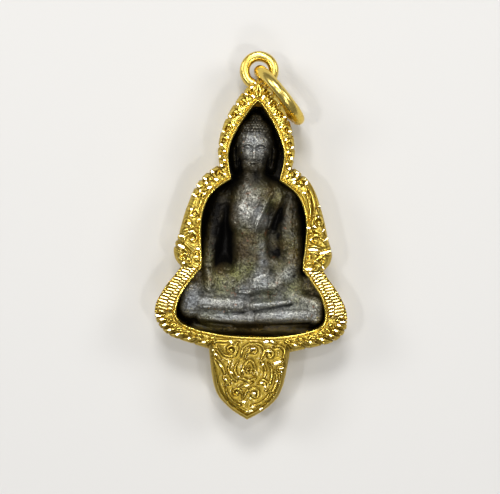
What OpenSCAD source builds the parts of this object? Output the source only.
// Amulet pendant: a cast seated figure held in a chased gold case, with a hanging loop and a round ring.
// It lies on its back. X is its width, Y runs from the tab up to the loop, and Z comes out of its front.
// The origin is the middle of its length and width, on the surface that its back rests on. Millimetres.

/* [Case outline] */
// Outer width of the arch round the head
arch_w = 10.6; // [9.8:0.1:11.4]
// Outer width at the curled shoulder ends
shoulder_w = 21.9; // [20.5:0.1:23.5]
// Outer width at the knees
knee_w = 26.8; // [25.2:0.1:28.4]
// Width of the tab where it leaves the case
tab_w = 11.2; // [9.8:0.1:12.4]
// Length of the arch, from the neck notches up to the apex
arch_h = 12.1; // [11.3:0.1:12.9]
// Length of the shoulder bands, from the waist notches up to the neck notches
torso_h = 14.3; // [13.3:0.1:15.3]
// Length of the knee part, from the tab up to the waist notches
knee_h = 11.35; // [10.6:0.05:12.1]
// Length of the tab, from its tip up to the case
tab_h = 9.55; // [8.5:0.05:11]

/* [Opening] */
// Width of the opening beside the head
opening_arch_w = 7.7; // [7.2:0.1:8.2]
// Width of the opening beside the arms
opening_torso_w = 14.5; // [13.9:0.1:15.1]
// Width of the opening at the knees
opening_knee_w = 20.6; // [19.6:0.1:21.4]
// Width of the band at the apex
apex_band = 3.3; // [2.8:0.1:3.8]
// How far the opening's neck corners lie below the neck notches
neck_drop = 2; // [1.6:0.1:2.4]
// Width of the band under the figure
foot_band = 1.95; // [1.7:0.05:2.3]

/* [Case section] */
// Height of the case, from its back to the top of the lip
case_depth = 8.2; // [7.4:0.1:9]
// Width of the raised lip round the opening
lip_w = 0.3; // [0.25:0.05:0.4]
// Height of the lip over the band
lip_rise = 0.2; // [0.1:0.05:0.3]
// Width of the groove beside the lip
groove_w = 0.14; // [0.1:0.02:0.2]
// Width of the bevel along the outer edge
bevel_w = 1.5; // [1.2:0.1:1.8]
// Fall of the bevel
bevel_drop = 1.2; // [0.8:0.1:1.5]
// Thickness of the front plate at its outer edge
edge_t = 0.4; // [0.3:0.05:0.6]
// How far the front plate reaches past the wall
overhang = 0.25; // [0.1:0.05:0.35]
// How far in the wall's foot lies from the front plate's edge
wall_inset = 0.75; // [0.5:0.05:0.9]
// Thickness of the wall and the front plate round the tab's hollow
sheet_t = 0.7; // [0.5:0.05:0.9]
// Thickness of the lip, over the pocket's wall
lip_t = 0.7; // [0.5:0.05:0.9]
// How far the lip reaches in over the pocket
lip_reach = 0.25; // [0.15:0.05:0.3]

/* [Relief of the band] */
// Ribs across the band at each knee
ribs = 16; // [14:1:20]
// Height of each rib
rib_rise = 0.16; // [0.08:0.02:0.22]
// Leaves along each side of the arch
arch_leaves = 6; // [4:1:8]
// Leaves along each shoulder band
shoulder_leaves = 6; // [4:1:8]
// Leaves along each side of the foot
foot_leaves = 5; // [3:1:7]
// Height of each leaf
leaf_rise = 0.16; // [0.08:0.02:0.2]
// Radius of the bead on each leaf of the arch and the shoulders
bead_r = 0.42; // [0.36:0.02:0.46]

/* [Back plate] */
// Thickness of the plate
plate_t = 0.8; // [0.6:0.05:1]
// Width of the ledge that the plate seats on
ledge_w = 0.35; // [0.25:0.05:0.4]
// Play round the plate
plate_gap = 0.05; // [0.03:0.01:0.08]

/* [Amulet] */
// Play between the amulet and the case
amulet_gap = 0.12; // [0.08:0.01:0.14]
// Thickness of the amulet's ground
ground_t = 2.2; // [1.8:0.1:2.6]
// Height of the figure over its ground
relief_h = 4.7; // [4.2:0.1:4.9]

/* [Hanging loop] */
// Outer radius of the loop
loop_r = 2.72; // [2.45:0.05:2.8]
// Radius of its hole at the narrowest
loop_hole_r = 1.33; // [1.3:0.01:1.4]
// Thickness of the loop along its hole
loop_depth = 2.4; // [2:0.1:2.6]
// Height of the loop's middle over the back
loop_z = 4.6; // [4.4:0.05:4.8]
// How far the loop's middle lies above the apex
loop_rise = 1.25; // [1.2:0.05:1.5]

/* [Ring] */
// Radius of the ring, at the middle of its wire
ring_r = 4.3; // [4.2:0.05:4.6]
// Radius of the ring's wire
wire_r = 0.82; // [0.7:0.02:0.84]
// Angle below level at which the ring lies beside the arch
ring_lean = 49; // [46:0.5:50]
// Play between the ring and the surface that the pendant lies on
floor_gap = 0.03; // [0.02:0.01:0.05]
// How far the wire lies from the middle of the loop's hole, on the ring's side
ring_shift = 0.15; // [0.1:0.01:0.18]
// Tip of the ring out of the upright
ring_tip = 1.5; // [0:0.5:2]

/* [Hidden] */
$fn = 64;
cut = 1;            // how far a cutting solid runs past what it cuts

// Levels along Y, from the top of the loop down to the tab's tip.
length_all = loop_r + loop_rise + arch_h + torso_h + knee_h + tab_h;
loop_y = length_all / 2 - loop_r;
apex_y = loop_y - loop_rise;
neck_y = apex_y - arch_h;
waist_y = neck_y - torso_h;
foot_y = waist_y - knee_h;
tip_y = foot_y - tab_h;

// Levels along Y of the opening.
opening_top_y = apex_y - apex_band;
opening_neck_y = neck_y - neck_drop;
opening_foot_y = foot_y + foot_band;
opening_h = opening_top_y - opening_foot_y;

// Levels along Z.
crest_z = case_depth - lip_rise;
edge_z = crest_z - bevel_drop;
ground_z = plate_t + ground_t;

// One row for each station across the band. Each place is a share of the half width or length of its stretch.
//   outer edge: x share, y share    opening: x share, y share
ARCH = [
    [0,    1,            0,    1],
    [0.21, 0.93,         0.09, 0.97],
    [0.40, 0.84,         0.23, 0.91],
    [0.62, 0.70,         0.48, 0.78],
    [0.81, 0.54,         0.71, 0.635],
    [0.94, 0.37,         0.90, 0.48],
    [1,    0.20,         0.99, 0.33],
    [0.99, 0.08,         0.97, 0.19],
    [0.95, 0,            0.86, 0],
];
TORSO = [
    [0.575, 0.94,        0.59, 0.95],
    [0.685, 0.86,        0.745, 0.88],
    [0.765, 0.76,        0.87, 0.785],
    [0.82, 0.65,         0.95, 0.67],
    [0.87, 0.535,        0.99, 0.55],
    [0.91, 0.42,         1,    0.43],
    [0.945, 0.31,        0.99, 0.305],
    [0.985, 0.22,        0.98, 0.20],
    [1,    0.145,        0.965, 0.12],
    [0.97, 0.065,        0.96, 0.055],
    [0.90, 0,            0.96, 0],
];
KNEE = [
    [0.80, 0.89,         0.75, 0.90],
    [0.87, 0.785,        0.835, 0.77],
    [0.93, 0.67,         0.92, 0.635],
    [0.98, 0.545,        0.975, 0.485],
    [1,    0.415,        1,    0.335],
    [0.99, 0.31,         0.98, 0.24],
    [0.94, 0.21,         0.91, 0.165],
    [0.835, 0.13,        0.775, 0.105],
    [0.64, 0.065,        0.62, 0.06],
];
TAB = [
    [1,    1,            0.445, 0.027],
    [0.955, 0.81,        0.38, 0.018],
    [0.91, 0.645,        0.31, 0.011],
    [0.84, 0.475,        0.24, 0.006],
    [0.715, 0.32,        0.175, 0.003],
    [0.465, 0.17,        0.11, 0.001],
    [0.215, 0.07,        0.05, 0],
    [0,    0,            0,    0],
];

// Stations as places: [outer x, outer y, opening x, opening y].
function placed(rows, outer_w, outer_0, outer_1, in_w, in_0, in_1) = [
    for (row = rows) [
        row[0] * outer_w / 2, outer_0 + row[1] * (outer_1 - outer_0),
        row[2] * in_w / 2, in_0 + row[3] * (in_1 - in_0)
    ]
];
arch = placed(ARCH, arch_w, neck_y, apex_y, opening_arch_w, opening_neck_y, opening_top_y);
torso = placed(TORSO, shoulder_w, waist_y, neck_y, opening_torso_w, waist_y, opening_neck_y);
knee = placed(KNEE, knee_w, foot_y, waist_y, opening_knee_w, opening_foot_y, waist_y);
tab = placed(TAB, tab_w, tip_y, foot_y, opening_knee_w, opening_foot_y, waist_y);
shoulder_stretch = concat([arch[len(arch) - 1]], torso);
knee_stretch = concat([torso[len(torso) - 1]], knee, [tab[0]]);
ribbed_spans = 5;   // spans of the knee stretch that carry ribs

// A smooth curve through the rows of one stretch, at span i and share t of it.
function curve(rows, i, t) =
    let (a = rows[max(i - 1, 0)], b = rows[i], c = rows[i + 1], d = rows[min(i + 2, len(rows) - 1)])
    b + (c - a) * t / 2 + (2 * a - 5 * b + 4 * c - d) * t * t / 2
    + (3 * b - a - 3 * c + d) * t * t * t / 2;
function curve_at(rows, s) =
    let (i = min(floor(s), len(rows) - 2))
    curve(rows, i, s - i);

// Stations down the right side: [place, rise of the relief, whether it crosses the tab].
leaf_steps = 3;     // stations for each leaf
function leaf(k, rise) = rise * pow(sin(180 * (k % leaf_steps) / leaf_steps), 2);
function leafy(rows, from, to, count, rise) =
    let (n = count * leaf_steps)
    [for (k = [0 : n - 1]) [curve_at(rows, from + (to - from) * k / n), leaf(k, rise), false]];
tab_steps = 14;
right_side = concat(
    leafy(arch, 0, len(arch) - 1, arch_leaves, leaf_rise),
    leafy(shoulder_stretch, 0, len(shoulder_stretch) - 1, shoulder_leaves, leaf_rise),
    [for (k = [0 : 2 * ribs - 1])
        [curve_at(knee_stretch, ribbed_spans * k / (2 * ribs)), rib_rise * (k % 2), false]],
    leafy(knee_stretch, ribbed_spans, len(knee_stretch) - 1, foot_leaves, leaf_rise),
    [for (k = [0 : tab_steps]) [curve_at(tab, (len(tab) - 1) * k / tab_steps), 0, k > 0]]
);
function mirrored(s) = [[-s[0][0], s[0][1], -s[0][2], s[0][3]], s[1], s[2]];
stations = concat(
    right_side,
    [for (k = [len(right_side) - 2 : -1 : 1]) mirrored(right_side[k])]
);

function outer(s) = [s[0][0], s[0][1]];
function inner(s) = [s[0][2], s[0][3]];
function band(s) = norm(inner(s) - outer(s));
function across(s, d) = outer(s) + (inner(s) - outer(s)) * d / band(s);

// Distances from the outer edge, across the band.
narrow_share = 0.3; // most of a narrow band that the wall's foot may lie in by
function foot_inset(s) = min(wall_inset, narrow_share * band(s));
function ledge_at(s) = s[2] ? wall_inset + ledge_w : band(s) - lip_reach - ledge_w;

// The band's section at one station, as [distance from the outer edge, height].
function section(s) =
    let (b = band(s), field = b - lip_w - groove_w, bevel = min(bevel_w, field), r = s[1])
    [
        [foot_inset(s), 0],
        [overhang, edge_z - edge_t],
        [0, edge_z - edge_t],
        [0, edge_z],
        [0.3 * bevel, edge_z + 0.5 * bevel_drop + r],
        [0.65 * bevel, edge_z + 0.85 * bevel_drop + r],
        [0.96 * field, crest_z + r / 2],
        [b - lip_w - groove_w / 2, crest_z - groove_w],
        [b - lip_w, crest_z],
        [b - 0.8 * lip_w, case_depth],
        [b - 0.2 * lip_w, case_depth],
        [b, case_depth - lip_rise],
        [b, case_depth - lip_t],
        [b - lip_reach, case_depth - lip_t - lip_reach],
        [b - lip_reach, plate_t],
        [ledge_at(s), plate_t],
        [ledge_at(s), 0],
    ];

// A closed band: a section carried round the stations.
module swept(stations) {
    rings = [for (s = stations) [for (p = section(s)) [each across(s, p[0]), p[1]]]];
    n = len(rings);
    m = len(rings[0]);
    polyhedron(
        points = [for (ring = rings) each ring],
        faces = [
            for (k = [0 : n - 1], j = [0 : m - 1])
                let (a = k * m + j, b = k * m + (j + 1) % m, c = ((k + 1) % n) * m + (j + 1) % m,
                     d = ((k + 1) % n) * m + j)
                each [[a, c, b], [a, d, c]]
        ],
        convexity = 10
    );
}

// A bead with a short tail on each leaf of one stretch, on both sides.
tail_share = 0.45;  // radius of the tail's end to the bead's
module beads(rows, from, to, count) {
    for (side = [-1, 1], k = [0 : count - 1]) {
        head = curve_at(rows, from + (to - from) * (k + 0.5) / count);
        tail = curve_at(rows, from + (to - from) * (k + 0.9) / count);
        hull() {
            bead(side, head, 0.5, bead_r);
            bead(side, tail, 0.3, bead_r * tail_share);
        }
    }
}
module bead(side, place, share, r) {
    x = place[0] + (place[2] - place[0]) * share;
    y = place[1] + (place[3] - place[1]) * share;
    translate([side * x, y, crest_z + leaf_rise - bead_r / 2])
        sphere(r, $fn = 6);
}

// The hollow behind the tab's front plate.
module tab_hollow() {
    wide = [for (s = right_side) if (s[2] && band(s) > 2 * (wall_inset + sheet_t)) s];
    out = [for (s = wide) across(s, wall_inset + sheet_t)];
    in = [for (s = wide) across(s, band(s) - lip_reach - sheet_t)];
    last = len(wide) - 1;
    translate([0, 0, -cut])
        linear_extrude(crest_z - sheet_t + cut)
            polygon(concat(
                out,
                [for (k = [last - 1 : -1 : 0]) [-out[k][0], out[k][1]]],
                [for (k = [0 : last]) [-in[k][0], in[k][1]]],
                [for (k = [last - 1 : -1 : 0]) in[k]]
            ));
}

module loop() {
    wall = (loop_r - loop_hole_r) / 2;
    translate([0, loop_y, loop_z])
        rotate_extrude($fn = 32)
            translate([loop_hole_r + wall, 0])
                scale([wall, loop_depth / 2])
                    circle(1, $fn = 12);
}

module case() {
    color("gold") {
        difference() {
            swept(stations);
            tab_hollow();
        }
        beads(arch, 0, len(arch) - 1, arch_leaves);
        beads(shoulder_stretch, 0, len(shoulder_stretch) - 1, shoulder_leaves);
        loop();
    }
}

module back_plate() {
    color("goldenrod")
        linear_extrude(plate_t)
            polygon([for (s = stations) across(s, ledge_at(s) + plate_gap)]);
}

// Forms of the figure, each a rounded bar between two ends. x and radius are shares of the opening's half width at
// the knees, y of its length from the foot, and the crest of the relief's height.
//   x, y, crest, radius          x, y, crest, radius
FIGURE = [
    // rough foot of the casting
    [-0.76, 0.030, 0.34, 0.090,   0.78, 0.032, 0.34, 0.090],
    // mass of the legs and the lap
    [-0.72, 0.130, 0.68, 0.230,   0.74, 0.125, 0.68, 0.220],
    [-0.50, 0.225, 0.74, 0.230,   0.56, 0.220, 0.72, 0.240],
    [-0.06, 0.290, 0.72, 0.260,   0.30, 0.290, 0.74, 0.240],
    // leg underneath, from its ankle to its knee
    [-0.66, 0.076, 0.70, 0.095,   0.02, 0.078, 0.80, 0.100],
    [0.10, 0.088, 0.85, 0.125,    0.74, 0.100, 0.88, 0.135],
    [0.85, 0.098, 0.85, 0.150,    0.87, 0.145, 0.83, 0.140],
    [0.56, 0.170, 0.78, 0.130,    0.84, 0.150, 0.80, 0.130],
    // leg on top, from its knee to its foot
    [-0.81, 0.118, 0.82, 0.190,   -0.79, 0.190, 0.84, 0.180],
    [-0.64, 0.138, 0.87, 0.140,   -0.14, 0.138, 0.88, 0.130],
    [0.03, 0.132, 0.91, 0.075,    0.52, 0.154, 0.86, 0.050],
    // belly, chest and shoulders
    [-0.04, 0.450, 0.74, 0.275,   -0.01, 0.330, 0.74, 0.300],
    [-0.05, 0.590, 0.82, 0.330,   -0.06, 0.500, 0.84, 0.320],
    [-0.15, 0.545, 0.90, 0.150,   -0.12, 0.520, 0.90, 0.150],
    [-0.04, 0.650, 0.74, 0.260,   0.02, 0.620, 0.80, 0.280],
    [0.10, 0.620, 0.72, 0.220,    0.42, 0.590, 0.66, 0.200],
    [-0.16, 0.620, 0.64, 0.190,   -0.44, 0.585, 0.44, 0.170],
    // low ground between the body and the arms
    [0.30, 0.520, 0.46, 0.130,    0.29, 0.360, 0.50, 0.120],
    [-0.40, 0.580, 0.34, 0.150,   -0.40, 0.420, 0.02, 0.110],
    // arm that reaches down over the knee
    [-0.47, 0.575, 0.44, 0.150,   -0.56, 0.440, 0.50, 0.130],
    [-0.56, 0.440, 0.50, 0.130,   -0.60, 0.300, 0.68, 0.110],
    [-0.60, 0.300, 0.68, 0.110,   -0.56, 0.200, 0.86, 0.085],
    // arm with its hand in the lap
    [0.46, 0.585, 0.62, 0.180,    0.50, 0.420, 0.70, 0.190],
    [0.50, 0.420, 0.70, 0.190,    0.53, 0.310, 0.78, 0.170],
    [0.53, 0.300, 0.79, 0.140,    0.34, 0.236, 0.84, 0.110],
    [0.34, 0.222, 0.87, 0.070,    0.02, 0.212, 0.89, 0.068],
    [0.20, 0.264, 0.84, 0.058,    0.03, 0.242, 0.86, 0.052],
    [-0.03, 0.190, 0.88, 0.046,   -0.155, 0.190, 0.86, 0.044],
    // neck, head and crown
    [-0.03, 0.655, 0.70, 0.200,   -0.03, 0.730, 0.62, 0.190],
    [-0.03, 0.745, 0.84, 0.205,   -0.03, 0.815, 0.88, 0.295],
    [-0.03, 0.815, 0.88, 0.295,   -0.03, 0.862, 0.80, 0.260],
    [-0.02, 0.900, 0.76, 0.170,   -0.02, 0.928, 0.62, 0.110],
    // ears
    [-0.290, 0.800, 0.58, 0.058,  -0.265, 0.725, 0.52, 0.054],
    [0.230, 0.800, 0.58, 0.058,   0.205, 0.725, 0.52, 0.054],
];
// Folds and creases over the forms. The rise is a share of the relief's height, and the rest is as above.
//   x, y, rise, half width       x, y, rise, half width
FOLDS = [
    // robe's edge across the chest, in two folds with grooves beside them
    [0.21, 0.628, 0.025, 0.045,   0.03, 0.475, 0.045, 0.045],
    [0.12, 0.610, -0.020, 0.035,  -0.03, 0.480, -0.050, 0.030],
    [0.27, 0.622, -0.040, 0.035,  0.10, 0.450, -0.045, 0.035],
    [0.35, 0.612, 0.040, 0.045,   0.19, 0.470, 0.045, 0.045],
    [0.43, 0.600, -0.120, 0.060,  0.28, 0.470, -0.180, 0.065],
    // creases between the legs, and the break between the shin and the foot
    [0.05, 0.106, -0.110, 0.028,  0.54, 0.142, -0.110, 0.022],
    [-0.35, 0.094, -0.070, 0.022, -0.10, 0.101, -0.090, 0.025],
    [-0.085, 0.118, -0.060, 0.030,-0.085, 0.160, -0.040, 0.030],
    // groove under the legs
    [-0.78, 0.062, -0.090, 0.040, -0.25, 0.046, -0.120, 0.035],
    [0.20, 0.046, -0.120, 0.035,  0.84, 0.064, -0.100, 0.040],
];

half_w = opening_knee_w / 2;
dome_h = 1.5;       // most that a form's top curves down to its sides
blend = 4;          // sharpness of the blend between forms, per millimetre
edge_fall = 3;      // steepness of the fall to the ground at the amulet's edge
full_fold_h = 2;    // height over the ground from which folds have their whole depth

// At a point, of one row: [crest or rise there, radius or half width there, distance from the bar's middle line].
function bar_at(row, x, y) =
    let (
        a = [row[0] * half_w, row[1] * opening_h + opening_foot_y],
        b = [row[4] * half_w, row[5] * opening_h + opening_foot_y],
        run = b - a,
        t = max(0, min(1, ([x, y] - a) * run / (run * run)))
    )
    [
        (row[2] + (row[6] - row[2]) * t) * relief_h,
        (row[3] + (row[7] - row[3]) * t) * half_w,
        norm([x, y] - a - run * t)
    ];
function form_top(bar) =
    let (q = bar[2] / bar[1], dome = min(bar[1], dome_h))
    q < 1 ? (bar[0] - dome) * (1 - pow(q, 6)) + dome * sqrt(1 - q * q) : 0;
function fold_top(bar) =
    let (q = min(bar[2] / bar[1], 1))
    bar[0] * pow(1 - q * q, 2);
function total(list) = list * [for (v = list) 1];

// Height of the figure over its ground. Forms blend over a short reach, and stay under the lip near the edge.
function figure_top(x, y, to_edge) =
    let (
        forms = total([for (row = FIGURE) exp(blend * form_top(bar_at(row, x, y))) - 1]),
        top = ln(1 + forms) / blend,
        folds = total([for (row = FOLDS) fold_top(bar_at(row, x, y))])
    )
    max(0, min(top + folds * min(top / full_fold_h, 1), relief_h, edge_fall * to_edge + 0.6 * relief_h));

// The amulet's outline on its right side as [y, x], from the foot up.
function amulet_edge(s) = across(s, band(s) - lip_reach + amulet_gap);
rim = [for (k = [len(right_side) - 1 : -1 : 0]) let (p = amulet_edge(right_side[k])) [p[1], p[0]]];

// Levels of the rows of the amulet's surface: closer together round the curve of its foot, and with one row at each
// corner of the opening, at the waist and at the neck.
row_pitch = 0.52;
stations_to_waist = len(right_side) - 1 - tab_steps - foot_leaves * leaf_steps;
foot_row_y = amulet_edge(right_side[len(right_side) - 1 - tab_steps / 2])[1];
knee_row_y = amulet_edge(right_side[stations_to_waist])[1];
waist_row_y = amulet_edge(right_side[(arch_leaves + shoulder_leaves) * leaf_steps])[1];
neck_row_y = amulet_edge(right_side[arch_leaves * leaf_steps])[1];
top_row_y = rim[len(rim) - 1][0] - row_pitch;
foot_rows = 14;
function levels(from, to) =
    let (n = ceil((to - from) / row_pitch))
    [for (j = [0 : n - 1]) from + (to - from) * j / n];
row_levels = concat(
    [for (j = [0 : foot_rows - 1])
        foot_row_y + (knee_row_y - foot_row_y) * pow(j / foot_rows, 1.7)],
    levels(knee_row_y, waist_row_y),
    levels(waist_row_y, neck_row_y),
    levels(neck_row_y, top_row_y),
    [top_row_y]
);
columns = 40;

module amulet() {
    rows = len(row_levels);
    bottom_z = plate_t + plate_gap;
    row_n = columns + 1;
    top = [
        for (y = row_levels)
            let (w = lookup(y, rim))
            for (i = [0 : columns])
                let (x = w * (2 * i / columns - 1))
                [x, y, ground_z + (i == 0 || i == columns || y == row_levels[0] ? 0 :
                    figure_top(x, y, min(w - abs(x), y - row_levels[0])))]
    ];
    under = [for (y = row_levels) let (w = lookup(y, rim)) each [[-w, y, bottom_z], [w, y, bottom_z]]];
    base = len(top);
    end = rows - 1;
    color("dimgray")
        polyhedron(
            points = concat(top, under),
            faces = concat(
                [for (j = [0 : end - 1], i = [0 : columns - 1])
                    let (a = j * row_n + i, b = a + 1, c = a + row_n + 1, d = a + row_n)
                    each [[a, c, b], [a, d, c]]],
                [for (j = [0 : end - 1])
                    let (a = base + 2 * j)
                    each [[a, a + 1, a + 3], [a, a + 3, a + 2]]],
                [for (j = [0 : end - 1])
                    let (a = j * row_n, b = a + row_n, c = base + 2 * j, d = c + 2)
                    each [[a, c, d], [a, d, b]]],
                [for (j = [0 : end - 1])
                    let (a = j * row_n + columns, b = a + row_n, c = base + 2 * j + 1, d = c + 2)
                    each [[a, d, c], [a, b, d]]],
                [[base, each [for (i = [0 : columns]) i], base + 1]],
                [[base + 2 * end + 1, each [for (i = [columns : -1 : 0]) end * row_n + i], base + 2 * end]]
            ),
            convexity = 10
        );
}

// The ring lies beside the arch with its foot near the surface, so its middle is a little over the loop's.
ring_z = floor_gap + wire_r + ring_r * cos(ring_tip);
ring_reach = ring_shift + sqrt(ring_r * ring_r - (ring_z - loop_z) * (ring_z - loop_z));

module bail_ring() {
    color("gold")
        translate([0, loop_y, 0])
            rotate([0, 0, -ring_lean])
                translate([ring_reach, 0, ring_z])
                    rotate([90 - ring_tip, 0, 0])
                        rotate_extrude()
                            translate([ring_r, 0])
                                circle(wire_r);
}

case();
back_plate();
amulet();
bail_ring();
